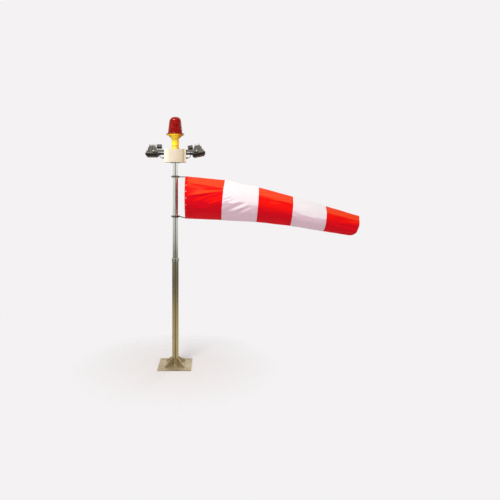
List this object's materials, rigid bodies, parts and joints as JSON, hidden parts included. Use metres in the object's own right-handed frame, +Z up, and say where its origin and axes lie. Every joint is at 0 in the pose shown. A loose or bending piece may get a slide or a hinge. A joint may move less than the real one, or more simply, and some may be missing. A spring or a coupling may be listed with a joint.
{
  "type": "windsock on a mast",
  "caption": "Red and white banded windsock that swings round a flanged steel mast, under a head box with a red beacon and tilting floodlights.",
  "frame": {"origin": "centre of the base plate's underside, on the mast axis", "axes": "+Z up along the mast, +X along the sock, and the front of the head box towards -Y"},
  "size_m": [2.9908, 0.5936, 3.487],
  "materials": {
    "plate_steel": "satin",
    "lower_tube_steel": "polished",
    "upper_tube_steel": "polished",
    "plain_steel": "satin",
    "bright_steel": "polished",
    "box_steel": "satin",
    "bolt_steel": "satin",
    "black_rubber": "matte",
    "driver_case": "satin",
    "terminal_plastic": "satin",
    "yellow_enamel": "gloss",
    "red_lens": "gloss",
    "lamp_aluminium": "satin",
    "led_chip": "gloss",
    "dark_enamel": "satin",
    "dark_casting": "matte",
    "black_enamel": "satin",
    "clear_glass": "gloss",
    "driver_black": "satin",
    "black_nylon": "satin",
    "lead_rubber": "matte",
    "bush_bronze": "satin",
    "frame_steel": "satin",
    "red_cloth": "satin",
    "white_cloth": "satin"
  },
  "bodies": {
    "mast": {"base_plate": "plate_steel", "gusset_1": "plate_steel", "gusset_2": "plate_steel", "gusset_3": "plate_steel", "gusset_4": "plate_steel", "lower_tube": "lower_tube_steel", "mast_sleeve": "plain_steel", "joint_collar": "bright_steel", "joint_screws": "bolt_steel", "upper_tube": "upper_tube_steel", "stop_collar_lower": "plain_steel", "stop_collar_upper": "plain_steel", "head_flange": "plain_steel", "head_bolts": "bolt_steel", "box_shell": "box_steel", "box_gasket": "black_rubber", "box_cover": "box_steel", "cover_screws": "bolt_steel", "power_unit": "driver_case", "terminal_strip": "terminal_plastic", "beacon_base": "yellow_enamel", "beacon_bolts": "bolt_steel", "beacon_gasket": "black_rubber", "beacon_lens": "red_lens", "lens_screws": "bolt_steel", "lamp_tower": "lamp_aluminium", "lamp_leds": "led_chip", "yoke_left": "dark_enamel", "yoke_right": "dark_enamel", "yoke_bolts_left": "bolt_steel", "yoke_bolts_right": "bolt_steel", "lead_gland_left": "black_nylon", "lead_gland_right": "black_nylon", "lead_left": "lead_rubber", "lead_right": "lead_rubber"},
    "swivel": {"swivel_collar_upper": "bright_steel", "swivel_collar_lower": "bright_steel", "bush_upper": "bush_bronze", "bush_lower": "bush_bronze", "arm_upper": "frame_steel", "arm_lower": "frame_steel", "hoop": "frame_steel", "hoop_loops": "red_cloth", "sock_band_1": "red_cloth"},
    "sock_2": {"sock_band_2": "white_cloth"},
    "sock_3": {"sock_band_3": "red_cloth"},
    "sock_4": {"sock_band_4": "white_cloth"},
    "sock_5": {"sock_band_5": "red_cloth"},
    "flood_left": {"flood_body_left": "dark_casting", "flood_bezel_left": "black_enamel", "flood_glass_left": "clear_glass", "flood_leds_left": "led_chip", "flood_driver_left": "driver_black", "pivot_bolts_left": "bolt_steel"},
    "flood_right": {"flood_body_right": "dark_casting", "flood_bezel_right": "black_enamel", "flood_glass_right": "clear_glass", "flood_leds_right": "led_chip", "flood_driver_right": "driver_black", "pivot_bolts_right": "bolt_steel"}
  },
  "joints": [
    {"name": "sock_swivel", "type": "hinge", "parent": "mast", "child": "swivel", "pos_m": [0, 0, 2.645], "axis": [0, 0, 1], "continuous": true},
    {"name": "sock_droop_2", "type": "hinge", "parent": "swivel", "child": "sock_2", "pos_m": [0.73777, 0, 2.58538], "axis": [0, 1, 0], "range_deg": [-2, 17]},
    {"name": "sock_droop_3", "type": "hinge", "parent": "sock_2", "child": "sock_3", "pos_m": [1.228, 0, 2.48139], "axis": [0, 1, 0], "range_deg": [-2, 17]},
    {"name": "sock_droop_4", "type": "hinge", "parent": "sock_3", "child": "sock_4", "pos_m": [1.69726, 0, 2.35395], "axis": [0, 1, 0], "range_deg": [-2, 17]},
    {"name": "sock_droop_5", "type": "hinge", "parent": "sock_4", "child": "sock_5", "pos_m": [2.15352, 0, 2.21796], "axis": [0, 1, 0], "range_deg": [-2, 17]},
    {"name": "flood_tilt_left", "type": "hinge", "parent": "mast", "child": "flood_left", "pos_m": [-0.3, 0, 2.99], "axis": [0, 0.9816, -0.1908], "range_deg": [-35, 24], "deforming": ["lead_left"]},
    {"name": "flood_tilt_right", "type": "hinge", "parent": "mast", "child": "flood_right", "pos_m": [0.3, 0, 2.99], "axis": [0, -0.9816, 0.1908], "range_deg": [-45, 12], "deforming": ["lead_right"]}
  ],
  "couplings": [
    {"joint": "sock_droop_3", "follows": "sock_droop_2", "ratio": 1},
    {"joint": "sock_droop_4", "follows": "sock_droop_2", "ratio": 1},
    {"joint": "sock_droop_5", "follows": "sock_droop_2", "ratio": 1}
  ]
}
